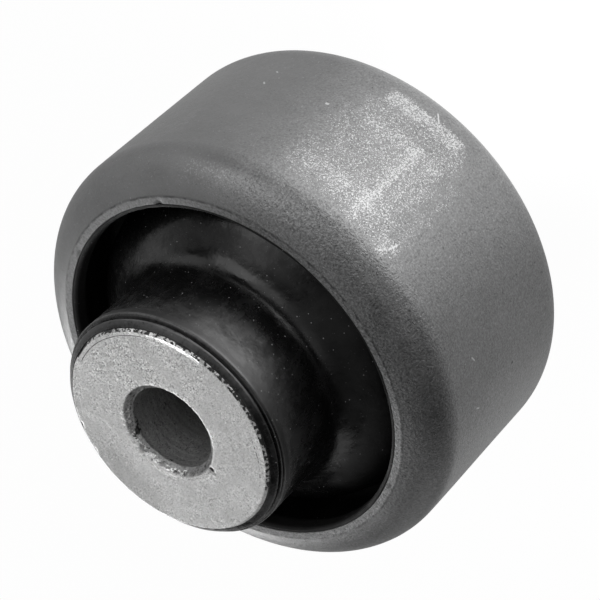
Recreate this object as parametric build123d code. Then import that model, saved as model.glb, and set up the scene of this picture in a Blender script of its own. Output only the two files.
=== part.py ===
from build123d import *
from math import cos, radians, sin
import os

# Rubber metal bush: a turned-in outer sleeve and a thick inner sleeve with rubber bonded between them.
# Its axis is Z, and the outer sleeve's mid-plane is z = 0. The inner sleeve reaches further above that
# plane than below it. Each end of a piece is drawn as a half section in radius and height, measured
# away from the mid-plane, and the two ends are revolved and joined there.
# All sizes are in millimetres.

# Outer sleeve
SLEEVE_RADIUS = 32.0            # outside of the cylinder that is pressed into an eye
SLEEVE_LENGTH = 35.4            # from one lip's face to the other's
SLEEVE_WALL = 2.2               # thickness of the tube's wall
SHOULDER_INSET = 8.04           # radial half-axis of the elliptical shoulder
SHOULDER_RISE = 5.99            # axial half-axis of the elliptical shoulder
SHOULDER_SWEEP = 69.5           # degrees of the ellipse before the flat face of the lip
LIP_BAND = 1.1                  # width of the lip's flat face

# Inner sleeve
TUBE_RADIUS = 15.5              # outside of the thick tube
TUBE_LENGTH = 62.0              # from one end face to the other
TUBE_OFFSET = 0.5               # how far the tube's middle lies above the outer sleeve's
TUBE_EDGE = 0.3                 # chamfer round each end face
BORE_RADIUS = 6.1               # clears an M12 bolt
BORE_CHAMFER = 0.9              # lead-in at each end of the bore

# Rubber
COLLAR_SETBACK = 0.35           # bare tube between the end face and the rubber
COLLAR_THICKNESS = 0.85         # rubber of the collar beside the end face
COLLAR_WIDTH = 0.9              # length of the collar along the axis
COLLAR_SLOPE = 0.6              # how far the collar's top falls towards its outer edge
GROOVE_WIDTH = 0.25             # parting groove between the collar and the neck
GROOVE_FLOOR = 0.45             # rubber left under the groove
NECK_THICKNESS = 1.4            # rubber round the tube above the flare
NECK_ROUND = 0.35               # radius of the neck's edge beside the groove
NECK_ABOVE_LIP = 2.8            # where the neck starts to flare, above the lip's face
FLARE_ROOT_PULL = 6.0           # how far the flare follows the neck before it turns outwards
FLARE_EDGE_PULL = 10.9          # how far the flare follows the recess before it turns inwards
RECESS_WIDTH = 3.5              # annular recess beside the outer sleeve, at its foot
WEB_THICKNESS = 8.4             # rubber between the feet of the two recesses
SKIN_THICKNESS = 1.0            # rubber left on the inside of the outer sleeve
LINING_THICKNESS = 0.6          # rubber inside the lip's opening
LINING_SETBACK = 0.1            # bare cut edge between the lip's face and the lining
LINING_ROUND = 0.5              # radius of the lining's edge beside the lip's face

# Places that follow from those sizes
LIP_FACE_Z = SLEEVE_LENGTH / 2
SHOULDER_CENTRE = (SLEEVE_RADIUS - SHOULDER_INSET, LIP_FACE_Z - SHOULDER_RISE * sin(radians(SHOULDER_SWEEP)))
WALL_INSIDE_RADIUS = SLEEVE_RADIUS - SLEEVE_WALL
SKIN_INSIDE_RADIUS = WALL_INSIDE_RADIUS - SKIN_THICKNESS
OPENING_RADIUS = SHOULDER_CENTRE[0] + SHOULDER_INSET * cos(radians(SHOULDER_SWEEP)) - LIP_BAND
TUBE_TOP = TUBE_LENGTH / 2 + TUBE_OFFSET
TUBE_BOTTOM = TUBE_LENGTH / 2 - TUBE_OFFSET


def shoulder_arc(depth):
    """Arc of the shoulder that lies a given depth below the outer sleeve's surface."""
    return EllipticalCenterArc(
        SHOULDER_CENTRE,
        SHOULDER_INSET - depth,
        SHOULDER_RISE - depth,
        arc_size=SHOULDER_SWEEP,
    )


def turned(half_section):
    """Solid of revolution above the mid-plane from edges that are drawn as radius and height."""
    return revolve(Plane.XZ * make_face(half_section), Axis.Z)


def both_ends(top, bottom):
    """One solid from the half above the mid-plane and the half that is mirrored below it."""
    return top + mirror(bottom, about=Plane.XY)


def outer_sleeve():
    """Steel tube whose two ends are turned in to a lip."""
    outside = shoulder_arc(0)
    inside = shoulder_arc(SLEEVE_WALL)
    lip_corner = (OPENING_RADIUS, LIP_FACE_Z)
    lip_underside = (OPENING_RADIUS, (inside @ 1).Y)
    half = turned([
        Line((SLEEVE_RADIUS, 0), outside @ 0),
        outside,
        Line(outside @ 1, lip_corner),
        Line(lip_corner, lip_underside),
        Line(lip_underside, inside @ 1),
        inside,
        Line(inside @ 0, (WALL_INSIDE_RADIUS, 0)),
        Line((WALL_INSIDE_RADIUS, 0), (SLEEVE_RADIUS, 0)),
    ])
    return both_ends(half, half)


def tube_half(face_z):
    """Half of the inner sleeve, up to an end face at a given height."""
    return turned(Polyline(
        (BORE_RADIUS, 0),
        (TUBE_RADIUS, 0),
        (TUBE_RADIUS, face_z - TUBE_EDGE),
        (TUBE_RADIUS - TUBE_EDGE, face_z),
        (BORE_RADIUS + BORE_CHAMFER, face_z),
        (BORE_RADIUS, face_z - BORE_CHAMFER),
        close=True,
    ))


def inner_sleeve():
    """Thick tube with a chamfered bore that a bolt passes through."""
    return both_ends(tube_half(TUBE_TOP), tube_half(TUBE_BOTTOM))


def collar_and_neck(face_z):
    """Edges of the rubber on the tube, from beside the tube's end face down to the start of the flare."""
    collar_radius = TUBE_RADIUS + COLLAR_THICKNESS
    collar_top = face_z - COLLAR_SETBACK
    groove_radius = TUBE_RADIUS + GROOVE_FLOOR
    groove_top = collar_top - COLLAR_WIDTH
    groove_bottom = groove_top - GROOVE_WIDTH
    neck_radius = TUBE_RADIUS + NECK_THICKNESS
    collar_corner = (collar_radius, collar_top - COLLAR_SLOPE)
    neck_edge = CenterArc((neck_radius - NECK_ROUND, groove_bottom - NECK_ROUND), NECK_ROUND, 90, -90)
    return [
        Line((TUBE_RADIUS, collar_top), collar_corner),
        Line(collar_corner, (collar_radius, groove_top)),
        Line((collar_radius, groove_top), (groove_radius, groove_top)),
        Line((groove_radius, groove_top), (groove_radius, groove_bottom)),
        Line((groove_radius, groove_bottom), neck_edge @ 0),
        neck_edge,
        Line(neck_edge @ 1, (neck_radius, LIP_FACE_Z + NECK_ABOVE_LIP)),
    ]


def flare_and_recess():
    """Edges of the bell-shaped flare, the annular recess beyond it and the skin inside the outer sleeve."""
    neck_radius = TUBE_RADIUS + NECK_THICKNESS
    neck_end = LIP_FACE_Z + NECK_ABOVE_LIP
    foot_radius = SKIN_INSIDE_RADIUS - RECESS_WIDTH
    foot_z = WEB_THICKNESS / 2 + RECESS_WIDTH / 2
    skin = shoulder_arc(SLEEVE_WALL + SKIN_THICKNESS)
    return [
        Bezier(
            (neck_radius, neck_end),
            (neck_radius, neck_end - FLARE_ROOT_PULL),
            (foot_radius, foot_z + FLARE_EDGE_PULL),
            (foot_radius, foot_z),
        ),
        CenterArc((foot_radius + RECESS_WIDTH / 2, foot_z), RECESS_WIDTH / 2, 180, 180),
        Line((SKIN_INSIDE_RADIUS, foot_z), skin @ 0),
        skin,
    ]


def lip_lining():
    """Edges of the rubber that wraps the lip's cut edge, from the skin to the bond under the lip."""
    skin_end = shoulder_arc(SLEEVE_WALL + SKIN_THICKNESS) @ 1
    bond_end = shoulder_arc(SLEEVE_WALL) @ 1
    lining_radius = OPENING_RADIUS - LINING_THICKNESS
    lining_top = LIP_FACE_Z - LINING_SETBACK
    lining_edge = CenterArc((lining_radius + LINING_ROUND, lining_top - LINING_ROUND), LINING_ROUND, 180, -90)
    return [
        Line(skin_end, (lining_radius, bond_end.Y)),
        Line((lining_radius, bond_end.Y), lining_edge @ 0),
        lining_edge,
        Line(lining_edge @ 1, (OPENING_RADIUS, lining_top)),
        Line((OPENING_RADIUS, lining_top), (OPENING_RADIUS, bond_end.Y)),
        Line((OPENING_RADIUS, bond_end.Y), bond_end),
    ]


def rubber_half(face_z):
    """Half of the rubber, up to the inner sleeve's end face at a given height."""
    bond_to_sleeve = shoulder_arc(SLEEVE_WALL)
    return turned([
        Line((TUBE_RADIUS, 0), (TUBE_RADIUS, face_z - COLLAR_SETBACK)),
        *collar_and_neck(face_z),
        *flare_and_recess(),
        *lip_lining(),
        bond_to_sleeve,
        Line(bond_to_sleeve @ 0, (WALL_INSIDE_RADIUS, 0)),
        Line((WALL_INSIDE_RADIUS, 0), (TUBE_RADIUS, 0)),
    ])


def rubber_element():
    """Rubber moulded in one piece between the two sleeves and bonded to both."""
    return both_ends(rubber_half(TUBE_TOP), rubber_half(TUBE_BOTTOM))


PIECES = {
    "outer_sleeve": outer_sleeve(),
    "inner_sleeve": inner_sleeve(),
    "rubber_element": rubber_element(),
}

os.makedirs("parts", exist_ok=True)
for name, piece in PIECES.items():
    export_step(piece, f"parts/{name}.step")
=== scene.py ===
"""Looks of a rubber metal bush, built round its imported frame.

The bush stands on one end with its bore along Z. Sizes are in millimetres and become metres when a mesh
is finished. Angles round the bush are in degrees from its front, which faces -Y, towards +X.
"""

import logging
import math
from dataclasses import dataclass
from enum import Enum
from functools import reduce
from typing import Callable, Optional, Sequence, Union

import bmesh
import bpy
from bpy.types import Material, Node, NodeSocket, Object, World
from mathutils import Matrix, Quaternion, Vector, noise

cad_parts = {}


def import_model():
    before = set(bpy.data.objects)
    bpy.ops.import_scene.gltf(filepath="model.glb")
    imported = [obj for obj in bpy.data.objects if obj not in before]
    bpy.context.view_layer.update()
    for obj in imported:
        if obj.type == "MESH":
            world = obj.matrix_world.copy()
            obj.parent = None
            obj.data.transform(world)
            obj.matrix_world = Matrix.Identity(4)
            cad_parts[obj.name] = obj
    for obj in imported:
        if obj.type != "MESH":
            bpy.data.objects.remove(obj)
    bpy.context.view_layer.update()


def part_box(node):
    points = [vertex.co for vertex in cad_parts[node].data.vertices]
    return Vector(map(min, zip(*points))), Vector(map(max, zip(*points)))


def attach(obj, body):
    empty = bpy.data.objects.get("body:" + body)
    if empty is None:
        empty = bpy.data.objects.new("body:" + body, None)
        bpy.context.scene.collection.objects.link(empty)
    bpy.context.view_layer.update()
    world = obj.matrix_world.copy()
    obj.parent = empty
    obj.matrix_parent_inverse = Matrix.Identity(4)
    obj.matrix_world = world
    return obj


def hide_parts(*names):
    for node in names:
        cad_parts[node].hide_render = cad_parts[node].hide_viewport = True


MM = 0.001
BEYOND = 999.0  # a limit that nothing on the bush reaches
log = logging.getLogger("bush")

Point = tuple[float, float]
Triple = tuple[float, float, float]


# ---- shader graph

Operand = Union["Number", float, int]
Owner = Union[Material, World]
Place = tuple["Number", "Number", "Number"]  # angle, radius and height


class Number:
    """One number that changes over a surface, with the arithmetic that the finishes use."""

    def __init__(self, graph: "Graph", socket: NodeSocket) -> None:
        """Wraps an output socket of a graph."""
        self.graph = graph
        self.socket = socket

    def _math(self, operation: str, *operands: Operand) -> "Number":
        """Result of a Math node with some inputs, in order."""
        node = self.graph.node("ShaderNodeMath", {"operation": operation}, dict(enumerate(operands)))
        return Number(self.graph, node.outputs[0])

    def __add__(self, other: Operand) -> "Number":
        """Sum."""
        return self._math("ADD", self, other)

    __radd__ = __add__

    def __sub__(self, other: Operand) -> "Number":
        """Difference."""
        return self._math("SUBTRACT", self, other)

    def __rsub__(self, other: Operand) -> "Number":
        """Difference with a plain number first."""
        return self._math("SUBTRACT", other, self)

    def __mul__(self, other: Operand) -> "Number":
        """Product."""
        return self._math("MULTIPLY", self, other)

    __rmul__ = __mul__

    def __abs__(self) -> "Number":
        """Size without sign."""
        return self._math("ABSOLUTE", self)

    def root(self) -> "Number":
        """Square root."""
        return self._math("SQRT", self)

    def sine(self) -> "Number":
        """Sine of an angle in radians."""
        return self._math("SINE", self)

    def power(self, exponent: Operand) -> "Number":
        """The number raised to a power."""
        return self._math("POWER", self, exponent)

    def heading(self, other: "Number") -> "Number":
        """Angle in radians whose tangent is this number over the other."""
        return self._math("ARCTAN2", self, other)

    def most(self, other: Operand) -> "Number":
        """The larger of two numbers."""
        return self._math("MAXIMUM", self, other)

    def rise(self, low: float, high: float) -> "Number":
        """Smooth step.

        Args:
            low: where the step starts.
            high: where it ends. Below low, the step falls.

        Returns:
            0 before low and 1 past high.
        """
        if high < low:
            return 1 - self.rise(high, low)
        inputs = {"Value": self, "From Min": low, "From Max": high}
        node = self.graph.node("ShaderNodeMapRange", {"interpolation_type": "SMOOTHSTEP"}, inputs)
        return Number(self.graph, node.outputs["Result"])

    def window(self, low: float, high: float, soft: float, far_soft: float = 0.0) -> "Number":
        """Smooth window.

        Args:
            low: where the window opens.
            high: where it closes.
            soft: how wide its edges are.
            far_soft: how wide its far edge is, or 0 where that is the same.

        Returns:
            1 between low and high, and 0 well outside.
        """
        fall = (far_soft or soft) / 2
        return self.rise(low - soft / 2, low + soft / 2) * self.rise(high + fall, high - fall)


@dataclass(frozen=True)
class Pattern:
    """Noise that is fixed to the part.

    Its scale is in waves to a millimetre, and its stretch is a factor along each axis. Where it has spots,
    it steps from 0 to 1 between those two levels.
    """

    scale: float
    detail: float = 2.0
    rough: float = 0.5
    stretch: Triple = (1.0, 1.0, 1.0)
    warp: float = 0.0
    spots: Optional[Point] = None


@dataclass(frozen=True)
class Patch:
    """Place with soft edges, and the amount by which a finish changes there.

    Its limits are where it starts, where it ends and how wide its edges are, in degrees or millimetres. A
    fourth number is the width of the far edge, where that differs. Without limits it goes all the way.
    """

    amount: float
    angles: tuple[float, ...] = ()
    heights: tuple[float, ...] = ()
    radii: tuple[float, ...] = ()

    def on(self, place: Place) -> Number:
        """Lays the patch on the part.

        Args:
            place: angle, radius and height of the surface.

        Returns:
            The amount on the patch and 0 away from it.
        """
        change: Operand = self.amount
        for number, limits in zip(place, (self.angles, self.radii, self.heights)):
            if limits:
                change = number.window(*limits) * change
        return change


@dataclass(frozen=True)
class Stroke:
    """Small straight mark on the outer sleeve, round the middle that its angle and height give.

    Its length and width are in millimetres, and it leans from level by some degrees.
    """

    angle: float
    height: float
    length: float
    width: float
    lean: float = 0.0
    radius: float = 32.0

    def on(self, place: Place) -> Number:
        """Lays the stroke on the part.

        Args:
            place: angle, radius and height of the surface.

        Returns:
            1 on the stroke and 0 away from it.
        """
        angle, _, height = place
        sideways = (angle - self.angle) * math.radians(self.radius)
        upwards = height - self.height
        turn = math.radians(self.lean)
        far_along = abs(sideways * math.cos(turn) + upwards * math.sin(turn))
        far_across = abs(upwards * math.cos(turn) - sideways * math.sin(turn))
        ends = far_along.rise(self.length * 0.6, self.length * 0.4)
        return ends * far_across.rise(self.width * 0.75, self.width * 0.25)


def strongest(marks: Sequence[Union[Patch, Stroke]], place: Place) -> Number:
    """The strongest of some marks at each place."""
    return reduce(Number.most, (mark.on(place) for mark in marks))


def total(marks: Sequence[Union[Patch, "Pool"]], place: Place) -> Number:
    """The sum of some marks at each place."""
    return reduce(Number.__add__, (mark.on(place) for mark in marks))


class Graph:
    """Node tree of a material or of the surroundings, with the coordinates of a round part."""

    def __init__(self, owner: Owner) -> None:
        """Starts an empty tree.

        Args:
            owner: the new material or world that the tree belongs to.
        """
        owner.use_nodes = True
        self.owner = owner
        self.tree = owner.node_tree
        self.tree.nodes.clear()
        self._place: Optional[NodeSocket] = None
        self._round: Optional[Place] = None

    def node(self, kind: str, settings: dict, inputs: dict) -> Node:
        """Adds a node.

        Args:
            kind: the node's type.
            settings: its properties, which are set first.
            inputs: values or links of its sockets, by name or by number.

        Returns:
            The new node.
        """
        made = self.tree.nodes.new(kind)
        for key, value in settings.items():
            setattr(made, key, value)
        for key, value in inputs.items():
            if isinstance(value, Number):
                value = value.socket
            if isinstance(value, NodeSocket):
                self.tree.links.new(value, made.inputs[key])
            else:
                made.inputs[key].default_value = value
        return made

    def place(self) -> NodeSocket:
        """Place on the part in millimetres, as a vector."""
        if self._place is None:
            here = self.node("ShaderNodeTexCoord", {}, {}).outputs["Object"]
            scaled = self.node("ShaderNodeVectorMath", {"operation": "SCALE"}, {0: here, "Scale": 1 / MM})
            self._place = scaled.outputs[0]
        return self._place

    def round(self) -> Place:
        """Place on the part as angle in degrees, radius and height in millimetres."""
        if self._round is None:
            parts = self.node("ShaderNodeSeparateXYZ", {}, {0: self.place()})
            x, y, height = (Number(self, socket) for socket in parts.outputs)
            angle = x.heading(0 - y) * (180 / math.pi)
            self._round = angle, (x * x + y * y).root(), height
        return self._round

    def noise(self, pattern: Pattern) -> Number:
        """Noise that is fixed to the part.

        Args:
            pattern: the kind of noise.

        Returns:
            A number round 0, or from 0 to 1 where the pattern makes spots.
        """
        where = self.place()
        if pattern.stretch != (1.0, 1.0, 1.0):
            where = self.node("ShaderNodeMapping", {}, {"Vector": where, "Scale": pattern.stretch}).outputs[0]
        inputs = {"Vector": where, "Scale": pattern.scale, "Detail": pattern.detail,
                  "Roughness": pattern.rough, "Distortion": pattern.warp}
        value = Number(self, self.node("ShaderNodeTexNoise", {}, inputs).outputs[0])
        return value.rise(*pattern.spots) if pattern.spots else value - 0.5

    def cells(self, scale: float) -> Number:
        """Distance from the nearest of some scattered dots, with a scale of so many to a millimetre."""
        inputs = {"Vector": self.place(), "Scale": scale}
        return Number(self, self.node("ShaderNodeTexVoronoi", {}, inputs).outputs["Distance"])

    def attribute(self, name: str) -> Number:
        """Number that the mesh carries at each vertex."""
        return Number(self, self.node("ShaderNodeAttribute", {"attribute_name": name}, {}).outputs["Fac"])

    def grey(self, level: Operand, tint: Triple) -> NodeSocket:
        """Colour from one level.

        Args:
            level: brightness of the colour.
            tint: its red, green and blue at level 1.

        Returns:
            A colour socket.
        """
        black = (0.0, 0.0, 0.0, 1.0)
        settings = {"data_type": "RGBA", "clamp_factor": False}
        mixed = self.node("ShaderNodeMix", settings, {"Factor": level, 6: black, 7: (*tint, 1.0)})
        return mixed.outputs[2]

    def bump(self, layers: Sequence[tuple[Number, float]]) -> NodeSocket:
        """Fine relief.

        Args:
            layers: each height pattern with its depth in millimetres.

        Returns:
            A normal socket.
        """
        height = layers[0][0] * layers[0][1]
        for pattern, depth in layers[1:]:
            height = height + pattern * depth
        inputs = {"Strength": 1.0, "Distance": MM, "Height": height}
        return self.node("ShaderNodeBump", {}, inputs).outputs[0]

    def seen(self) -> Number:
        """1 to the camera and 0 to all other rays."""
        return Number(self, self.node("ShaderNodeLightPath", {}, {}).outputs["Is Camera Ray"])

    def close(self, shader: Node, output: str) -> Owner:
        """Ends the tree with a kind of output node, and gives the material or world that it belongs to."""
        self.node(output, {}, {"Surface": shader.outputs[0]})
        return self.owner

    def surface(self, inputs: dict) -> Material:
        """Ends the tree with a Principled surface, and gives the finished material."""
        return self.close(self.node("ShaderNodeBsdfPrincipled", {}, inputs), "ShaderNodeOutputMaterial")


# ---- finishes

WORN_HIGHLIGHT_BAND = (-5.35, 11.7, 0.7, 4.2)  # heights of the band where burnishing and a painted highlight lie, as a patch's limits


@dataclass(frozen=True)
class SleeveSteel:
    """Satin grey coated steel of the outer sleeve, burnished to bright specks where it has been pressed, with
    painted light and shade.
    """

    name: str = "satin_sleeve_steel"
    level: float = 0.20
    # colour of bare metal, also used for the painted glints in the highlight band
    bare_and_glint_level: float = 0.52
    tint: Triple = (0.995, 1.0, 1.004)
    metal: float = 0.9
    roughness: float = 0.45
    crease_radius: float = 26.85
    cut_radius: float = 25.68
    mottle = Pattern(0.13, 4.0, 0.55)
    cloud = Pattern(0.7, 3.0, 0.6)
    grain = Pattern(2.1, 3.0, 0.6)
    fine = Pattern(3.7, 2.0, 0.6)
    pits = Pattern(2.4, warp=0.4, spots=(0.36, 0.29))
    crease_gaps = Pattern(0.7, spots=(0.40, 0.56))
    specks = Pattern(5.2, 1.5, 0.6, warp=0.8)
    stray_specks = Pattern(3.1, 1.0, spots=(0.72, 0.76))
    speckle = Pattern(3.6, 1.5, 0.6, warp=0.5)
    wear_drift = Pattern(0.5, 3.0, 0.6)
    wear_sway = Pattern(1.1)
    wear_clumps = Pattern(0.28, 2.0, 0.6, spots=(0.34, 0.56))
    scratch_gaps = Pattern(2.2, 2.0, 0.6, spots=(0.40, 0.50))
    grainy_sides = (
        Patch(0.75, (-140, 36, 60, 24)),
        Patch(0.45, (-50, 30, 30), (12.5, BEYOND, 4)),
    )
    # painted light and shade on the shoulder: lighter from 8 to 72 degrees, darker near the lip from -75 to
    # -15 degrees
    painted_shoulder_light_and_shade = (
        Patch(0.19, (8, 72, 25), (15.8, BEYOND, 2.4)),
        Patch(-0.26, (-75, -15, 20), (16.95, BEYOND, 1.1)),
    )
    # painted light: the sleeve below a height of 12 mm made lighter from -140 to -60 degrees, and in a strip
    # from -75 to -57 degrees
    painted_side_light = (
        Patch(0.16, (-140, -60, 60, 24), (-BEYOND, 12, 4)),
        Patch(0.05, (-75, -57, 3), (-BEYOND, 12.5, 2)),
    )
    smear = Patch(0.09, (56, 62, 4), (4, 9, 3))
    # painted highlight: the sharpest line of a light reflected in the sleeve, laid into the burnished band
    painted_highlight_stripe = Patch(0.30, (5.3, 7.1, 1.2), WORN_HIGHLIGHT_BAND)
    # burnished band whose brightness is partly a painted highlight of a light reflected in the sleeve
    worn_highlight_patches = (
        Patch(0.13, (-7.5, 0, 2), WORN_HIGHLIGHT_BAND),
        Patch(0.36, (-1, 8.5, 5), WORN_HIGHLIGHT_BAND),
        Patch(0.27, (6.5, 26, 5, 24), WORN_HIGHLIGHT_BAND),
        Patch(0.26, (6, 25, 6), (6.8, 9.6, 2)),
        Patch(0.16, (0, 20, 5), (-5.2, -3, 1.2)),
        Patch(0.24, (-4, 24, 8), (-8.8, -5.3, 0.8)),
        Patch(0.78, (0, 21, 4), (-11.4, -8.8, 0.9)),
    )
    worn_corner = Patch(0.40, (-5.8, -1.6, 1.5), (9.8, 12.6, 1.2))
    scuff = Patch(0.34, (33, 50, 8), (14.9, 16.7, 1.6))
    streak = Patch(0.20, (-70, -50, 10), (-3, BEYOND, 14))
    scratches = (
        Stroke(-3.9, 11.9, 1.6, 0.26, 62),
        Stroke(-5.2, 10.3, 1.9, 0.22, 76),
    )
    nicks = (
        Stroke(9, -11.8, 1.6, 0.22, -52),
        Stroke(30.6, -3, 0.5, 0.4),
        Stroke(49.4, -3.9, 0.7, 0.22, -50),
        Stroke(49.4, -7, 0.5, 0.2, -40),
        Stroke(-53, 7.3, 0.8, 0.22, 60),
        Stroke(-39.4, 7, 0.9, 0.18, 30),
    )
    dark_nick = Stroke(-50.6, -1.75, 0.4, 0.35)

    def burnish_and_highlight(self, graph: Graph) -> Number:
        """How densely the coating is rubbed through, and how strongly the painted highlight lies over the
        rubbed band.

        Args:
            graph: the material's graph.

        Returns:
            0 on whole coating and about 1 on the most worn and most brightly painted stripe.
        """
        angle, radius, height = graph.round()
        wavy_height = height + graph.noise(self.wear_sway) * 1.2
        place = (angle + graph.noise(self.wear_drift) * 8, radius, wavy_height)
        wear_and_highlight = total(self.worn_highlight_patches, place) + self.painted_highlight_stripe.on((angle, radius, wavy_height))
        return wear_and_highlight * (graph.noise(self.wear_clumps) * 0.35 + 0.68) + self.worn_corner.on(place)

    def scuffs(self, graph: Graph) -> Number:
        """Light scratches, nicks and speckled scuffs outside the burnished patch.

        Args:
            graph: the material's graph.

        Returns:
            0 on whole coating and up to 1 on the marks.
        """
        place = graph.round()
        scratches = strongest(self.scratches, place) * graph.noise(self.scratch_gaps)
        speckle = graph.noise(self.speckle)
        scuff = self.scuff.on(place) * speckle.rise(0.04, 0.14)
        streak = self.streak.on(place) * speckle.rise(-0.03, 0.12)
        return (scratches.most(strongest(self.nicks, place)) * 0.9).most(scuff).most(streak)

    def material(self) -> Material:
        """Builds the finish."""
        graph = Graph(bpy.data.materials.new(self.name))
        place = graph.round()
        _, radius, height = place
        patterns = (self.mottle, self.cloud, self.grain, self.fine, self.pits)
        mottle, cloud, grain, fine, pits = (graph.noise(pattern) for pattern in patterns)
        coarse = total(self.grainy_sides, place) + 0.25
        wear_and_highlight = self.burnish_and_highlight(graph)
        # bright specks over the band: worn-through metal and painted glints of the highlight
        specks = (graph.noise(self.specks) + wear_and_highlight * 0.18).rise(0.10, 0.17) * wear_and_highlight.rise(0.02, 0.18)
        specks = specks.most(graph.noise(self.stray_specks) * 0.30)
        bare = specks.most(self.scuffs(graph)).most(graph.attribute("bare"))
        wavy = radius + cloud * 0.5
        # painted shade: a dark line along the fold between shoulder and lip band, broken in places
        crease_shade = wavy.window(self.crease_radius - 0.14, self.crease_radius + 0.14, 0.3)
        crease_shade = crease_shade * height.rise(17.2, 17.4) * (graph.noise(self.crease_gaps) * 0.6 + 0.4)
        lip = wavy.rise(self.crease_radius + 0.1, self.crease_radius - 0.3) * height.rise(16.5, 17.0)
        # painted shade: the lip's inner edge and wall darkened, dimming their highlight
        cut_edge_shade = radius.rise(self.cut_radius + 0.12, self.cut_radius + 0.04)
        # painted light and shade from the shoulder and side patches, plus a smear
        shade = total(self.painted_shoulder_light_and_shade, place) * (1 - lip) + total(self.painted_side_light, place)
        shade = shade + self.smear.on(place) * cloud.rise(-0.06, 0.08)
        # the band's lighter tone is burnishing and painted highlight together
        tone = mottle * 0.36 + cloud * 0.16 + (grain * 0.45 + fine * 1.25) * coarse + wear_and_highlight * 0.27
        tone = tone + lip * (grain + fine + 0.40)
        coat = self.level * (1 + tone + shade) * (1 - pits * coarse * 0.30)
        coat = coat * (1 - crease_shade * 0.55) * (1 - cut_edge_shade * 0.6)
        stain = graph.attribute("stain").most(self.dark_nick.on(place))
        level = (coat + (self.bare_and_glint_level - coat) * bare) * (1 - stain * 0.75)
        relief = [(grain * coarse, 0.055), (fine * coarse, 0.035), (cloud, 0.04), (pits, -0.02),
                  (lip * grain, 0.06)]
        return graph.surface({
            "Base Color": graph.grey(level, self.tint),
            "Metallic": self.metal,
            "Roughness": self.roughness + grain * 0.16 + mottle * 0.10 + lip * 0.18,
            "Normal": graph.bump(relief),
        })


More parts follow.
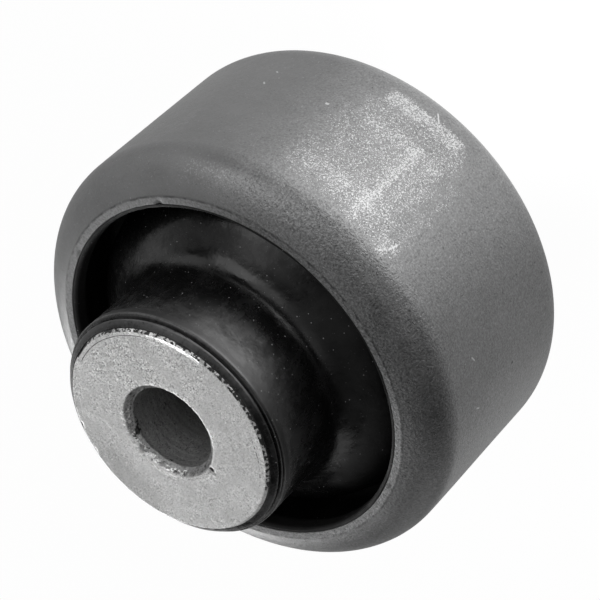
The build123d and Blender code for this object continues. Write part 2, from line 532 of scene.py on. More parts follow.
@dataclass(frozen=True)
class TubeSteel:
    """Pale granular steel of the inner sleeve, with a shiny rubbed rim, a burr, rubber left on it, and
    painted light and shade.
    """

    name: str = "granular_tube_steel"
    level: float = 0.62
    shine_and_highlight_level: float = 1.0
    tint: Triple = (1.0, 1.0, 0.996)
    metal: float = 0.6
    roughness: float = 0.50
    rim: float = 15.2
    bore: float = 6.1
    mottle = Pattern(0.16, 3.0, 0.55)
    cloud = Pattern(0.8, 3.0, 0.6)
    grain = Pattern(3.0, 3.0, 0.65, stretch=(1.0, 0.62, 1.0), warp=0.3)
    fine = Pattern(4.2, 2.0, 0.65, stretch=(1.0, 0.7, 1.0))
    pits = Pattern(3.4, 2.0, 0.6, stretch=(1.0, 0.7, 1.0), spots=(0.41, 0.33))
    glints = Pattern(3.4, 1.5, 0.6, spots=(0.60, 0.68))
    coarse_clumps = Pattern(0.32, 2.0, 0.6, spots=(0.38, 0.60))
    ragged = Pattern(1.6, 3.0, 0.65)
    dash_gaps = Pattern(1.3, 1.0, spots=(0.48, 0.56))
    burr_gaps = Pattern(1.9, spots=(0.44, 0.56))
    crumbs = Pattern(1.5, 2.0, 0.6)
    chatter_gaps = Pattern(2.6, 1.0, stretch=(1.0, 1.0, 0.2), spots=(0.42, 0.52))
    mouth_dirt = Pattern(1.3, 3.0, 0.65, spots=(0.50, 0.60))
    bore_dirt = Pattern(1.5, 2.0, 0.6, stretch=(1.0, 1.0, 1.6), spots=(0.60, 0.66))
    ring = Patch(0.6, (46, 104, 8), radii=(14.5, 14.64, 0.12))
    strip_middle: float = 26.0
    strip_reach: float = 13.0
    strip_width: float = 0.62
    strip_depth: float = 0.36

    def rubbed_shine_and_highlight(self, graph: Graph) -> Number:
        """Where the steel is rubbed or burred shiny, with a painted highlight whitening the strip on the rim.

        Args:
            graph: the material's graph.

        Returns:
            0 on plain steel and up to 1 where it is shiny or carries the painted highlight.
        """
        angle, radius, _ = graph.round()
        ragged = graph.noise(self.ragged)
        rubbed = (radius + ragged * 0.9).window(self.rim - 0.6, self.rim + 0.2, 0.2)
        # the strip is rubbed metal under a painted highlight
        strip = angle.window(13.5, 39, 4) * rubbed
        dashes = angle.window(39, 58, 6) * rubbed * graph.noise(self.dash_gaps)
        lip = (radius + ragged * 0.6).window(self.bore + 0.4, self.bore + 1.5, 0.35)
        burr = abs(angle).rise(105, 140) * lip * graph.noise(self.burr_gaps)
        return strip.most(dashes * 0.8).most(burr * 0.8)

    def soil(self, graph: Graph) -> Number:
        """Where black rubber or dirt is left on the steel.

        Args:
            graph: the material's graph.

        Returns:
            0 on clean steel and up to 1 on the rubber.
        """
        angle, radius, height = graph.round()
        crumbs = graph.noise(self.crumbs)
        edge = radius.rise(self.rim - 0.3, self.rim + 0.2)
        teeth = angle.window(-66, -18, 8) * edge * crumbs.rise(-0.03, 0.03)
        smears = angle.window(88, 102, 3) * edge
        flecks = (angle.window(-50, 100, 20) * 0.9 + 0.1) * edge * crumbs.rise(-0.06, 0.04)
        chatter = angle.window(-66, -32, 6) * (radius + angle * 0.014).window(13.35, 13.55, 0.16)
        chatter = chatter * graph.noise(self.chatter_gaps) * 0.55
        mouth = radius.rise(self.bore + 1.3, self.bore + 0.8) * radius.rise(self.bore + 0.1, self.bore + 0.3)
        mouth = mouth * graph.noise(self.mouth_dirt) * 0.45
        within = radius.rise(self.bore + 0.2, self.bore + 0.05) * graph.noise(self.bore_dirt) * 0.55
        chip = angle.window(134, 160, 8) * radius.rise(self.bore + 0.9, self.bore + 0.3)
        chip = chip * crumbs.rise(-0.10, 0.02) * height.rise(29.4, 30.4) * 0.6
        ring = self.ring.on(graph.round())
        return reduce(Number.most, (teeth, smears, flecks, chatter, ring, mouth, within, chip))

    def material(self) -> Material:
        """Builds the finish."""
        graph = Graph(bpy.data.materials.new(self.name))
        angle, radius, height = graph.round()
        patterns = (self.mottle, self.cloud, self.grain, self.fine, self.pits)
        mottle, cloud, grain, fine, pits = (graph.noise(pattern) for pattern in patterns)
        coarse = (angle.window(15, 115, 60) * 0.7 + 0.8) * (graph.noise(self.coarse_clumps) * 0.7 + 0.55)
        rubbed_shine_and_highlight = (self.rubbed_shine_and_highlight(graph).most(graph.attribute("bare")) + grain * 0.9).rise(0.30, 0.60)
        soil = (self.soil(graph).most(graph.attribute("stain")) + grain * 0.9).rise(0.36, 0.56)
        taper = ((angle - self.strip_middle) * (1 / self.strip_reach)).power(2) * 0.35
        taper = taper + cloud * 1.2 + grain * 0.8
        strip_rise = (radius - self.rim + self.strip_width - taper).most(0.0) * angle.window(12, 41, 3)
        # painted shade: the chamfer and bore made darker
        inside = radius.rise(self.bore + 1.0, self.bore + 0.65)
        # painted shade: the chamfer darker at the front of the bore, dimming its highlight
        front_chamfer_shade = radius.window(self.bore + 0.14, self.bore + 1.0, 0.16) * (0.7 + cloud)
        front_chamfer_shade = front_chamfer_shade * abs(angle).rise(150, 90)
        # painted shade: the end face darker towards its back, past 135 degrees round and away from the bore
        far_side_shade = abs(angle).rise(135, 170) * radius.rise(8.5, 12.5)
        rings = (radius * 9 + cloud * 3).sine() * 0.02 + (height * 7 + cloud * 5).sine() * inside * 0.08
        speckle = (grain * 1.1 + fine * 1.5 + graph.noise(self.glints) * 0.16) * coarse
        coat = self.level * (1 + mottle * 0.30 + cloud * 0.30 + speckle + rings) * (1 - pits * coarse * 0.5)
        coat = coat * (1 - inside * 0.42) * (1 - front_chamfer_shade * 0.45) * (1 - far_side_shade * 0.24)
        level = (coat + (self.shine_and_highlight_level - coat) * rubbed_shine_and_highlight) * (1 - soil * 0.97)
        relief = [(grain * coarse, 0.04), (fine * coarse, 0.014), (cloud, 0.03), (pits, -0.04), (soil, 0.03),
                  (strip_rise, self.strip_depth)]
        return graph.surface({
            "Base Color": graph.grey(level, self.tint),
            "Metallic": self.metal * (1 - soil),
            "Roughness": self.roughness + grain * 0.2 - rubbed_shine_and_highlight * 0.10,
            "Normal": graph.bump(relief),
        })


@dataclass(frozen=True)
class MouldedRubber:
    """Black moulded rubber with a faint bloom, smudges, dust, wiped and dull places, and painted light on its
    collar.
    """

    name: str = "moulded_rubber"
    level: float = 0.0045
    dust_level: float = 0.30
    tint: Triple = (1.0, 1.0, 1.02)
    roughness: float = 0.25
    sheen_level: float = 0.42
    bloom = Pattern(0.22, 4.0, 0.6)
    smudge = Pattern(0.8, 3.0, 0.6, stretch=(1.0, 1.0, 0.6))
    grain = Pattern(2.4, 3.0, 0.6)
    dusty = Pattern(0.35, spots=(0.40, 0.56))
    linty = Pattern(0.7, spots=(0.50, 0.62))
    wiped = (
        Patch(1.0, (-26, 34, 30), (23, BEYOND, 3), radii=(-BEYOND, 17.35, 0.5)),
        Patch(1.0, (8, 32, 22), radii=(19.3, 22.2, 1.6)),
        Patch(1.0, (-12, 56, 20), (29.55, BEYOND, 0.3)),
    )
    dull = (
        Patch(0.75, (-56, 0, 16), radii=(17.8, 22.4, 1.4)),
        Patch(1.0, (-98, -48, 10), radii=(20, BEYOND, 2)),
        Patch(1.6, radii=(24.8, BEYOND, 0.2)),
        Patch(1.0, heights=(28.7, 29.5, 0.3), radii=(-BEYOND, 17.2, 0.4)),
    )

    def material(self) -> Material:
        """Builds the finish."""
        graph = Graph(bpy.data.materials.new(self.name))
        angle, radius, height = graph.round()
        bloom = graph.noise(self.bloom)
        smudge = graph.noise(self.smudge)
        grain = graph.noise(self.grain)
        dust = graph.cells(1.0).rise(0.10, 0.05) * graph.noise(self.dusty)
        lint = graph.cells(2.2).rise(0.13, 0.07) * graph.noise(self.linty)
        # chalky collar top, made much lighter from -14 to 100 degrees round by painted light
        chalk_and_painted_light = height.rise(29.5, 29.7) * (angle.window(-14, 100, 24) * 0.8 + 0.2)
        chalk_and_painted_light = chalk_and_painted_light * (1 + grain * 3 + smudge * 2) * (radius.window(15.95, 16.5, 0.4) * 0.75 + 0.25)
        level = self.level * (1 + grain * 0.8) + bloom.rise(-0.05, 0.3) * 0.006 + chalk_and_painted_light * 0.034
        level = level + (dust + lint * 0.5) * self.dust_level
        matt = strongest(self.dull, graph.round()) * 0.28 + chalk_and_painted_light * 0.2
        return graph.surface({
            "Base Color": graph.grey(level, self.tint),
            "Metallic": 0.0,
            "Specular IOR Level": self.sheen_level,
            "Coat Weight": strongest(self.wiped, graph.round()) * (1 + smudge * 1.2),
            "Coat Roughness": self.roughness + 0.05,
            "Roughness": self.roughness + matt + bloom * 0.28 + smudge * 0.30 + grain * 0.12,
            "Normal": graph.bump([(grain, 0.016), (smudge, 0.03), (bloom, 0.10)]),
        })


# ---- geometry

@dataclass(frozen=True)
class Mark:
    """Dent on a turned surface, or a raised spot where its depth is below 0, with a soft oval edge.

    Its middle is an angle in degrees, a radius and a height. Across and along are half of its size round the
    bush and the other way, and bare and stain are how far it shows metal or dirt.
    """

    angle: float
    radius: float
    height: float
    across: float
    along: float
    depth: float = 0.0
    bare: float = 0.0
    stain: float = 0.0

    def strength(self, angle: float, radius: float, height: float) -> float:
        """How strongly the mark acts at a place.

        Args:
            angle: degrees round the bush.
            radius: millimetres from its axis.
            height: millimetres above its mid-plane.

        Returns:
            1 at the mark's centre, falling to 0.
        """
        turn = (angle - self.angle + 180) % 360 - 180
        sideways = math.radians(turn) * radius / self.across
        lengthways = math.hypot(radius - self.radius, height - self.height) / self.along
        reach = sideways * sideways + lengthways * lengthways
        return math.exp(-reach) if reach < 9 else 0.0


class Section:
    """Outline of a turned piece in radius and height, sampled finely enough to carry relief."""

    def __init__(self, radius: float, height: float) -> None:
        """Starts the outline at a first point."""
        self.points = [(radius, height)]

    def line(self, radius: float, height: float, pitch: float) -> None:
        """Adds a straight run.

        Args:
            radius: its end's radius.
            height: its end's height.
            pitch: longest step between points.
        """
        r0, z0 = self.points[-1]
        steps = max(1, math.ceil(math.hypot(radius - r0, height - z0) / pitch))
        for i in range(1, steps + 1):
            self.points.append((r0 + (radius - r0) * i / steps, z0 + (height - z0) * i / steps))

    def arc(self, centre: Point, half: Point, start: float, sweep: float,
            pitch: float) -> None:
        """Adds a round or elliptical run, joined to the last point.

        Args:
            centre: radius and height of its centre.
            half: its half-axes along radius and height.
            start: first angle in degrees, from outwards towards up.
            sweep: degrees turned.
            pitch: longest step between points.
        """
        steps = max(2, math.ceil(math.radians(abs(sweep)) * max(half) / pitch))
        for i in range(steps + 1):
            turn = math.radians(start + sweep * i / steps)
            point = (centre[0] + half[0] * math.cos(turn), centre[1] + half[1] * math.sin(turn))
            if math.dist(point, self.points[-1]) > 1e-4:
                self.points.append(point)

    def curve(self, pull_a: Point, pull_b: Point, end: Point,
              pitch: float) -> None:
        """Adds a cubic curve.

        Args:
            pull_a: control point beside the start.
            pull_b: control point beside the end.
            end: the curve's end.
            pitch: rough step between points.
        """
        start = self.points[-1]
        steps = max(2, math.ceil((math.dist(start, end) + math.dist(pull_a, pull_b)) / 2 / pitch))
        for i in range(1, steps + 1):
            t = i / steps
            weights = ((1 - t) ** 3, 3 * (1 - t) ** 2 * t, 3 * (1 - t) * t * t, t ** 3)
            corners = (start, pull_a, pull_b, end)
            self.points.append(tuple(sum(w * c[k] for w, c in zip(weights, corners)) for k in (0, 1)))

    def turned(self, below: "Section", steps: int) -> bmesh.types.BMesh:
        """Closes the outline with another one, mirrored below the mid-plane, and turns it round the axis.

        Args:
            below: outline of the other end, which starts and ends on the mid-plane as this one does.
            steps: faces round the axis.

        Returns:
            A closed mesh in millimetres, with its faces outwards.
        """
        mesh = bmesh.new()
        mirrored = [(r, -z) for r, z in reversed(below.points[1:-1])]
        verts = [mesh.verts.new((r, 0.0, z)) for r, z in self.points + mirrored]
        edges = [mesh.edges.new(pair) for pair in zip(verts, verts[1:] + verts[:1])]
        bmesh.ops.spin(mesh, geom=verts + edges, cent=(0, 0, 0), axis=(0, 0, 1), angle=math.tau,
                       steps=steps, use_merge=True, use_duplicate=False)
        bmesh.ops.remove_doubles(mesh, verts=mesh.verts, dist=1e-4)
        bmesh.ops.recalc_face_normals(mesh, faces=mesh.faces)
        return mesh


Relief = Callable[[float, float, float], float]


@dataclass(frozen=True)
class Swell:
    """Smooth unevenness of a surface, with so many waves to a millimetre and a depth in millimetres."""

    scale: float
    seed: float
    depth: float

    def at(self, angle: float, radius: float, height: float) -> float:
        """How far the surface moves at a place.

        Args:
            angle: degrees round the bush.
            radius: millimetres from its axis.
            height: millimetres above its mid-plane.

        Returns:
            The move in millimetres.
        """
        turn = math.radians(angle)
        spot = Vector((radius * math.sin(turn), -radius * math.cos(turn), height)) * self.scale
        return noise.noise(spot + Vector((self.seed, self.seed * 1.7, self.seed * 0.6))) * self.depth


def weathered(mesh: bmesh.types.BMesh, marks: Sequence[Mark], relief: Relief, limit: float = 0.0) -> None:
    """Gives a turned mesh its relief and marks, and stores where it is bare or stained.

    Args:
        mesh: the mesh, in millimetres.
        marks: dents and raised spots.
        relief: height of the surface over its true form, from angle, radius and height.
        limit: how far the surface may stand over its true form.
    """
    mesh.normal_update()
    bare = mesh.verts.layers.float.new("bare")
    stain = mesh.verts.layers.float.new("stain")
    moves = []
    for vert in mesh.verts:
        x, y, height = vert.co
        radius = math.hypot(x, y)
        angle = math.degrees(math.atan2(x, -y))
        lift = relief(angle, radius, height)
        for mark in marks:
            share = mark.strength(angle, radius, height)
            if share:
                lift -= mark.depth * share
                vert[bare] = max(vert[bare], mark.bare * share)
                vert[stain] = max(vert[stain], mark.stain * share)
        moves.append((vert, vert.normal * min(lift, limit)))
    for vert, move in moves:
        vert.co += move


def finished(mesh: bmesh.types.BMesh, name: str, material: Material) -> Object:
    """Makes an object of a mesh in millimetres.

    Args:
        mesh: the mesh, which is freed.
        name: the object's name.
        material: its finish.

    Returns:
        The object, at the origin, with its place in its mesh.
    """
    bmesh.ops.scale(mesh, vec=(MM, MM, MM), verts=mesh.verts)
    for face in mesh.faces:
        face.smooth = True
    data = bpy.data.meshes.new(name)
    mesh.to_mesh(data)
    mesh.free()
    data.materials.append(material)
    piece = bpy.data.objects.new(name, data)
    bpy.context.scene.collection.objects.link(piece)
    return piece


# ---- pieces

@dataclass
class OuterSleeve:
    """Short tube whose two ends are turned in to an elliptical shoulder and a flat lip."""

    radius: float
    lip_face: float
    wall: float = 2.2
    shoulder_inset: float = 8.04
    shoulder_rise: float = 5.99
    shoulder_sweep: float = 69.5
    lip_band: float = 1.1
    lip_edge: float = 0.08
    sink: float = 0.026
    ease_above: float = 0.8
    ease_width: float = 2.4
    ease_depth: float = 0.03
    wave = Swell(0.09, 3.0, 0.02)
    peel = Swell(0.8, 11.0, 0.006)
    steps: int = 440
    marks = (
        Mark(57.5, 25.9, 17.7, 0.45, 0.45, 0.25, stain=0.5),
        Mark(-72, 26.3, 17.7, 0.4, 0.25, 0.12, stain=0.6),
        Mark(-31, 25.9, 17.7, 0.7, 0.3, 0.15, bare=0.3),
        Mark(12, 26.0, 17.7, 0.8, 0.35, 0.12, bare=0.2),
        Mark(101, 25.9, 17.7, 0.5, 0.35, 0.18, stain=0.4),
    )

    @property
    def shoulder_centre(self) -> Point:
        """Radius and height of the shoulder ellipse's centre."""
        rise = self.shoulder_rise * math.sin(math.radians(self.shoulder_sweep))
        return self.radius - self.shoulder_inset, self.lip_face - rise

    def shoulder_end(self, depth: float) -> Point:
        """Where the shoulder ends, a given depth below the surface."""
        turn = math.radians(self.shoulder_sweep)
        centre = self.shoulder_centre
        return (centre[0] + (self.shoulder_inset - depth) * math.cos(turn),
                centre[1] + (self.shoulder_rise - depth) * math.sin(turn))

    @property
    def opening(self) -> float:
        """Radius of the lip's opening."""
        return self.shoulder_end(0)[0] - self.lip_band

    def half_section(self) -> Section:
        """Outline of one half, from the outside round the lip to the inside."""
        centre = self.shoulder_centre
        inner_end = self.shoulder_end(self.wall)
        outline = Section(self.radius, 0.0)
        outline.line(self.radius, centre[1], pitch=0.4)
        outline.arc(centre, (self.shoulder_inset, self.shoulder_rise), 0, self.shoulder_sweep, pitch=0.32)
        outline.line(self.opening + self.lip_edge, self.lip_face, pitch=0.14)
        outline.line(self.opening, self.lip_face - self.lip_edge, pitch=0.1)
        outline.line(self.opening, inner_end[1], pitch=0.3)
        outline.line(*inner_end, pitch=0.3)
        inner_half = (self.shoulder_inset - self.wall, self.shoulder_rise - self.wall)
        outline.arc(centre, inner_half, self.shoulder_sweep, -self.shoulder_sweep, pitch=1.2)
        outline.line(self.radius - self.wall, 0.0, pitch=1.5)
        return outline

    def relief(self, angle: float, radius: float, height: float) -> float:
        """Height of the surface over its true form, always at or below it."""
        if radius < self.radius - self.wall + 0.3 and abs(height) < self.shoulder_centre[1]:
            return 0.0
        wave = self.wave.at(angle, radius, height) + self.peel.at(angle, radius, height)
        from_ease = (height - self.shoulder_centre[1] - self.ease_above) / self.ease_width
        return wave - math.exp(-(from_ease ** 2)) * self.ease_depth - self.sink

    def build(self, finish: SleeveSteel) -> Object:
        """Makes the piece.

        Args:
            finish: its finish.

        Returns:
            The piece, which stands for the CAD sleeve.
        """
        mesh = self.half_section().turned(self.half_section(), self.steps)
        weathered(mesh, self.marks, self.relief)
        piece = finished(mesh, "outer_sleeve_detailed", finish.material())
        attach(piece, "root")
        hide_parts("outer_sleeve")
        return piece


@dataclass
class InnerSleeve:
    """Long thick-walled tube with a chamfered bore and granular end faces."""

    radius: float
    top: float
    bottom: float
    bore: float = 6.1
    chamfer: float = 0.9
    edge: float = 0.3
    fine_bore: float = 13.0
    fine_rim: float = 1.2
    fine_side: float = 1.4
    sink: float = 0.045
    bore_sink: float = 0.10
    swell = Swell(0.16, 2.0, 0.03)
    crumb = Swell(1.6, 7.0, 0.012)
    bore_dents = (Swell(0.5, 5.0, 0.05), Swell(1.2, 8.0, 0.04))
    groove_sway = Swell(0.25, 0.0, 3.0)
    groove_turns: float = 4.4
    groove_depth: float = 0.014
    mouth: float = 0.5
    mouth_chips = (Swell(0.8, 6.0, 0.30), Swell(1.9, 3.0, 0.14))
    steps: int = 400
    marks = (
        Mark(96, 15.5, 31.4, 1.6, 0.35, 0.25, stain=1.0),
        Mark(52, 15.4, 31.5, 0.3, 0.3, 0.15, stain=1.0),
        Mark(146, 15.4, 31.5, 0.45, 0.35, 0.3, stain=0.8),
        Mark(161, 15.3, 31.5, 0.4, 0.3, 0.25, stain=0.6),
        Mark(-82, 7.5, 31.5, 0.35, 0.4, 0.3, stain=1.0),
        Mark(-86, 8.3, 31.5, 0.25, 0.3, -0.1, bare=0.9),
        Mark(-150, 7.15, 31.5, 3.2, 0.35, -0.05, bare=0.75),
    )

    def half_section(self, face: float) -> Section:
        """Outline of one half, from the bore over its end face to the outside."""
        outline = Section(self.bore, 0.0)
        outline.line(self.bore, face - self.fine_bore, pitch=1.2)
        outline.line(self.bore, face - self.chamfer, pitch=0.32)
        outline.line(self.bore + self.chamfer, face, pitch=0.16)
        outline.line(self.radius - self.edge - self.fine_rim, face, pitch=0.26)
        outline.line(self.radius - self.edge, face, pitch=0.15)
        outline.line(self.radius, face - self.edge, pitch=0.15)
        outline.line(self.radius, face - self.fine_side, pitch=0.3)
        outline.line(self.radius, 0.0, pitch=3.0)
        return outline

    def relief(self, angle: float, radius: float, height: float) -> float:
        """Height of the surface over its true form, always at or below it."""
        face = self.top if height > 0 else self.bottom
        if radius > self.radius - 0.05 and abs(height) < face - self.fine_side + 0.1:
            return 0.0
        place = (angle, radius, height)
        if radius < self.bore + 0.05:
            groove = math.sin(height * self.groove_turns + self.groove_sway.at(*place)) * self.groove_depth
            return groove + sum(dent.at(*place) for dent in self.bore_dents) - self.bore_sink
        if radius < self.bore + self.chamfer + self.mouth:
            near = 1 - (radius - self.bore) / (self.chamfer + self.mouth)
            return -self.sink - sum(abs(chip.at(*place)) for chip in self.mouth_chips) * near
        return self.swell.at(*place) + self.crumb.at(*place) - self.sink

    def build(self, finish: TubeSteel) -> Object:
        """Makes the piece.

        Args:
            finish: its finish.

        Returns:
            The piece, which stands for the CAD sleeve.
        """
        mesh = self.half_section(self.top).turned(self.half_section(self.bottom), self.steps)
        weathered(mesh, self.marks, self.relief)
        piece = finished(mesh, "inner_sleeve_detailed", finish.material())
        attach(piece, "root")
        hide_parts("inner_sleeve")
        return piece


@dataclass
class RubberElement:
    """Rubber moulded between the two sleeves: collar, groove, neck, flare, recess and skin."""

    sleeve: OuterSleeve
    tube: InnerSleeve
    skin: float = 1.0
    collar_setback: float = 0.35
    collar_thickness: float = 0.85
    collar_width: float = 0.9
    collar_slope: float = 0.6
    collar_edge: float = 0.06
    groove_width: float = 0.25
    groove_floor: float = 0.45
    neck_thickness: float = 1.4
    neck_round: float = 0.35
    neck_above_lip: float = 2.8
    root_pull: float = 6.0
    edge_pull: float = 10.9
    recess_width: float = 3.5
    web: float = 8.4
    lining: float = 0.6
    lining_setback: float = 0.1
    lining_round: float = 0.5
    swell = Swell(0.12, 4.0, 0.08)
    grain = Swell(0.7, 9.0, 0.02)
    stand: float = 0.1
    steps: int = 360

    def half_section(self, face: float) -> Section:
        """Outline of one half, from the bonded inside over the collar to the bonded outside."""
        sleeve = self.sleeve
        bond = self.tube.radius
        collar_top = face - self.collar_setback
        collar = bond + self.collar_thickness
        collar_corner = collar_top - self.collar_slope
        groove_top = collar_top - self.collar_width
        groove_bottom = groove_top - self.groove_width
        neck = bond + self.neck_thickness
        neck_end = sleeve.lip_face + self.neck_above_lip
        outside = sleeve.radius - sleeve.wall
        wall = outside - self.skin
        foot = wall - self.recess_width
        foot_z = self.web / 2 + self.recess_width / 2
        centre = sleeve.shoulder_centre
        sweep = sleeve.shoulder_sweep
        bond_half = (sleeve.shoulder_inset - sleeve.wall, sleeve.shoulder_rise - sleeve.wall)
        skin_half = (bond_half[0] - self.skin, bond_half[1] - self.skin)
        outline = Section(bond, 0.0)
        outline.line(bond, collar_top, pitch=3.0)
        outline.line(collar - self.collar_edge, collar_corner + self.collar_edge / 3, pitch=0.16)
        outline.line(collar, collar_corner - self.collar_edge, pitch=0.1)
        outline.line(collar, groove_top, pitch=0.2)
        outline.line(bond + self.groove_floor, groove_top, pitch=0.15)
        outline.line(bond + self.groove_floor, groove_bottom, pitch=0.13)
        outline.line(neck - self.neck_round, groove_bottom, pitch=0.15)
        neck_edge = (neck - self.neck_round, groove_bottom - self.neck_round)
        outline.arc(neck_edge, (self.neck_round,) * 2, 90, -90, pitch=0.12)
        outline.line(neck, neck_end, pitch=0.4)
        pulls = ((neck, neck_end - self.root_pull), (foot, foot_z + self.edge_pull))
        outline.curve(*pulls, (foot, foot_z), pitch=0.4)
        outline.arc((foot + self.recess_width / 2, foot_z), (self.recess_width / 2,) * 2, 180, 180, pitch=0.4)
        outline.line(wall, centre[1], pitch=0.5)
        outline.arc(centre, skin_half, 0, sweep, pitch=0.4)
        bond_end = sleeve.shoulder_end(sleeve.wall)
        opening = sleeve.opening
        lining = opening - self.lining
        lining_top = sleeve.lip_face - self.lining_setback
        outline.line(lining, bond_end[1], pitch=0.3)
        outline.line(lining, lining_top - self.lining_round, pitch=0.3)
        lining_edge = (lining + self.lining_round, lining_top - self.lining_round)
        outline.arc(lining_edge, (self.lining_round,) * 2, 180, -90, pitch=0.12)
        outline.line(opening, lining_top, pitch=0.1)
        outline.line(opening, bond_end[1], pitch=0.5)
        outline.line(*bond_end, pitch=0.3)
        outline.arc(centre, bond_half, sweep, -sweep, pitch=1.2)
        outline.line(outside, 0.0, pitch=3.0)
        return outline

    def relief(self, angle: float, radius: float, height: float) -> float:
        """Height of the surface over its true form."""
        if radius < self.tube.radius + 0.02 or radius > self.sleeve.opening - 0.05:
            return 0.0
        return self.swell.at(angle, radius, height) + self.grain.at(angle, radius, height)

    def build(self, finish: MouldedRubber) -> Object:
        """Makes the piece.

        Args:
            finish: its finish.

        Returns:
            The piece, which stands for the CAD rubber.
        """
        below = self.half_section(self.tube.bottom)
        mesh = self.half_section(self.tube.top).turned(below, self.steps)
        weathered(mesh, (), self.relief, limit=self.stand)
        piece = finished(mesh, "rubber_element_detailed", finish.material())
        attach(piece, "root")
        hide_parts("rubber_element")
        return piece


# ---- studio

class Tier(Enum):
    """How high a lamp stands, in degrees over the bush's mid-plane."""

    LOW = 8
    MIDDLE = 33
    HIGH = 58
    TOP = 88


@dataclass(frozen=True)
class Lamp:
    """Soft round lamp aimed at the bush."""

    tier: Tier
    angle: float
    watts: float
    distance: float = 500.0
    width: float = 300.0

    def build(self) -> None:
        """Makes the lamp."""
        data = bpy.data.lights.new(f"{self.tier.name.lower()}_lamp", "AREA")
        data.shape = "DISK"
        data.size = self.width * MM
        data.energy = self.watts
        lamp = bpy.data.objects.new(data.name, data)
        turn, lift = math.radians(self.angle), math.radians(self.tier.value)
        towards = Vector((math.sin(turn) * math.cos(lift), -math.cos(turn) * math.cos(lift), math.sin(lift)))
        lamp.location = towards * self.distance * MM
        lamp.rotation_mode = "QUATERNION"
        lamp.rotation_quaternion = towards.to_track_quat("Z", "Y")
        bpy.context.scene.collection.objects.link(lamp)


# Watts of each tier's lamps, by their angle round the bush.
LAMPS = {
    Tier.LOW: {-120: 0.15, 90: 0.20, 120: 0.13, 150: 0.10, 180: 1.39},
    Tier.MIDDLE: {-150: 0.16, -30: 0.15, 0: 0.11, 30: 0.25, 60: 0.43, 120: 0.09, 150: 0.08},
    Tier.HIGH: {-135: 0.16, 45: 0.04, 90: 0.09, 135: 0.06},
    Tier.TOP: {180: 0.11},
}


@dataclass(frozen=True)
class Pool:
    """Light on the floor, brightest at one angle round the bush and narrower with more focus."""

    middle: float
    focus: float
    level: float

    def on(self, place: Place) -> Number:
        """The pool's brightness at a place."""
        turn = (place[0] - self.middle) * (math.pi / 360) + math.pi / 2
        return abs(turn.sine()).power(self.focus) * self.level


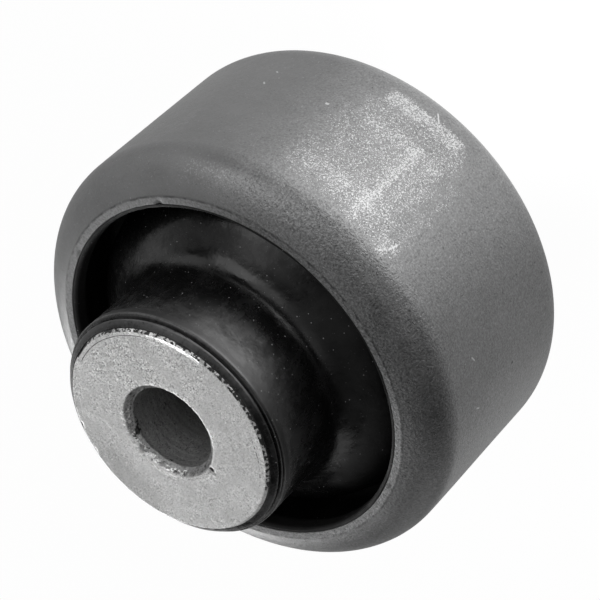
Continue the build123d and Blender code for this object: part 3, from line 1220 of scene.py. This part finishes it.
@dataclass
class Studio:
    """Pale floor, plain surroundings, four tiers of soft lamps and the camera."""

    floor_height: float
    world_level: float = 0.02
    floor_half: float = 1500.0
    near_floor: float = 50.0
    far_floor: float = 130.0
    shadow_share: float = 0.03
    camera_distance: float = 332.2
    camera_rise: float = 40.93
    camera_roll: float = 133.77
    camera_aim: Triple = (0.446, -0.139, -0.159)
    camera_lens: float = 145.63
    near_pools = (
        Pool(45, 6, 0.49),
        Pool(-90, 6, 0.25),
        Pool(-135, 6, 0.16),
        Pool(-20, 80, 0.61),
        Pool(0, 80, 0.52),
        Pool(15, 80, 0.26),
        Pool(30, 80, 0.57),
    )
    far_pools = (Pool(0, 80, 2.77), Pool(30, 80, 1.66), Pool(45, 6, 0.20))

    def floor_glow(self, graph: Graph) -> Number:
        """How bright the floor is to the bush: a pool of light in front, and dimmer light at both sides.

        Args:
            graph: the floor's graph.

        Returns:
            The floor's brightness.
        """
        place = graph.round()
        far = place[1].rise(self.near_floor, self.far_floor)
        return total(self.near_pools, place) * (1 - far) + total(self.far_pools, place) * far

    def floor(self) -> None:
        """Makes the floor, white to the eye but with the bush's shadow."""
        graph = Graph(bpy.data.materials.new("pale_floor"))
        seen = graph.seen()
        lit = graph.node("ShaderNodeBsdfDiffuse", {}, {"Color": (0.8, 0.8, 0.8, 1.0)})
        glow = graph.node("ShaderNodeEmission", {}, {"Strength": self.floor_glow(graph)})
        ground = graph.node("ShaderNodeAddShader", {}, {0: lit.outputs[0], 1: glow.outputs[0]})
        white = graph.node("ShaderNodeEmission", {}, {"Strength": 1.0})
        shares = {0: seen * (1 - self.shadow_share), 1: ground.outputs[0], 2: white.outputs[0]}
        mixed = graph.node("ShaderNodeMixShader", {}, shares)
        material = graph.close(mixed, "ShaderNodeOutputMaterial")
        mesh = bmesh.new()
        bmesh.ops.create_grid(mesh, x_segments=1, y_segments=1, size=self.floor_half)
        bmesh.ops.translate(mesh, vec=(0, 0, self.floor_height), verts=mesh.verts)
        finished(mesh, "floor", material)

    def world(self) -> None:
        """Sets plain surroundings, white to the eye and dim to the bush."""
        graph = Graph(bpy.data.worlds.new("surroundings"))
        dim = graph.node("ShaderNodeBackground", {}, {"Strength": self.world_level})
        white = graph.node("ShaderNodeBackground", {}, {"Color": (1.0, 1.0, 1.0, 1.0)})
        seen = graph.seen()
        mixed = graph.node("ShaderNodeMixShader", {}, {0: seen, 1: dim.outputs[0], 2: white.outputs[0]})
        bpy.context.scene.world = graph.close(mixed, "ShaderNodeOutputWorld")

    def camera(self) -> None:
        """Makes the camera, above the front of the bush and rolled."""
        data = bpy.data.cameras.new("camera")
        data.lens = self.camera_lens
        data.sensor_width = 36.0
        data.clip_start = 0.01
        camera = bpy.data.objects.new("camera", data)
        rise = math.radians(self.camera_rise)
        back = Vector((0, -math.cos(rise), math.sin(rise)))
        camera.location = back * self.camera_distance * MM
        ahead = Vector(self.camera_aim) * MM - camera.location
        level = ahead.to_track_quat("-Z", "Y")
        camera.rotation_mode = "QUATERNION"
        camera.rotation_quaternion = level @ Quaternion((0, 0, 1), -math.radians(self.camera_roll))
        bpy.context.scene.collection.objects.link(camera)
        bpy.context.scene.camera = camera

    def build(self) -> None:
        """Makes the whole studio."""
        self.floor()
        self.world()
        self.camera()
        for tier, lamps in LAMPS.items():
            for angle, watts in lamps.items():
                Lamp(tier, angle, watts).build()
        bpy.context.scene.view_settings.view_transform = "Standard"


# ---- main

def main() -> None:
    logging.basicConfig(level=logging.INFO, format="%(name)s: %(message)s")
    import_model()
    sleeve_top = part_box("outer_sleeve")[1]
    tube_bottom, tube_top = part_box("inner_sleeve")
    sleeve = OuterSleeve(radius=sleeve_top[0] / MM, lip_face=sleeve_top[2] / MM)
    tube = InnerSleeve(radius=tube_top[0] / MM, top=tube_top[2] / MM, bottom=-tube_bottom[2] / MM)
    rubber = RubberElement(sleeve, tube)
    for piece in (sleeve.build(SleeveSteel()), tube.build(TubeSteel()), rubber.build(MouldedRubber())):
        log.info("%s: %d faces", piece.name, len(piece.data.polygons))
    Studio(floor_height=-tube.bottom).build()


if __name__ == "__main__":
    main()
